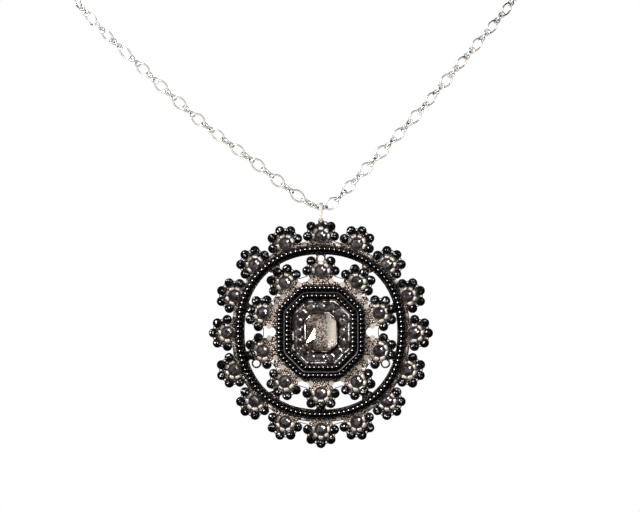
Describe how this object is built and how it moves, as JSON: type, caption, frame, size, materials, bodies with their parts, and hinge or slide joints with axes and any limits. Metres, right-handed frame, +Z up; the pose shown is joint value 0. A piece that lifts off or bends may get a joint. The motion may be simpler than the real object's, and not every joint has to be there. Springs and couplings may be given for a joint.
{
  "type": "rhinestone necklace",
  "caption": "Round silver filigree pendant with black beads, smoke rhinestones and an octagon centre stone, on a long-and-short chain with a clasp.",
  "frame": {"origin": "middle of the clasp at the nape, where the loop hangs on the neck", "axes": "+Z up, -Y towards the viewer who faces the pendant, +X to that viewer's right"},
  "size_m": [0.1443, 0.1086, 0.1554],
  "materials": {
    "chain_silver": "polished silver plate",
    "filigree_silver": "antiqued silver plate, granulated",
    "champagne_crystal": "foil-backed cut crystal",
    "smoke_crystal": "smoke grey foil-backed rhinestone",
    "black_glass": "glossy black glass",
    "black_thread": "nylon beading thread"
  },
  "bodies": {
    "neck_chain": {"chain": "chain_silver", "clasp": "chain_silver"},
    "bail": {"bail": "chain_silver"},
    "pendant": {"filigree_plate": "filigree_silver", "centre_setting": "filigree_silver", "centre_stone": "champagne_crystal", "pave_stones": "smoke_crystal", "outer_petal_stones": "smoke_crystal", "inner_petal_stones": "smoke_crystal", "outer_petal_beads": "black_glass", "inner_petal_beads": "black_glass", "outer_bead_thread": "black_thread", "inner_bead_thread": "black_thread", "ring_seed_beads": "black_glass", "band_seed_outer_row": "black_glass", "band_seed_inner_row": "black_glass", "band_groove_wire": "chain_silver"}
  },
  "joints": [
    {"name": "bail_swing", "type": "hinge", "parent": "neck_chain", "child": "bail", "pos_m": [0, -0.104, -0.09], "axis": [1, 0, 0], "range_deg": [-60, 60]},
    {"name": "pendant_sway", "type": "hinge", "parent": "bail", "child": "pendant", "pos_m": [0, -0.104, -0.0935], "axis": [0, 1, 0], "range_deg": [-30, 30]}
  ]
}
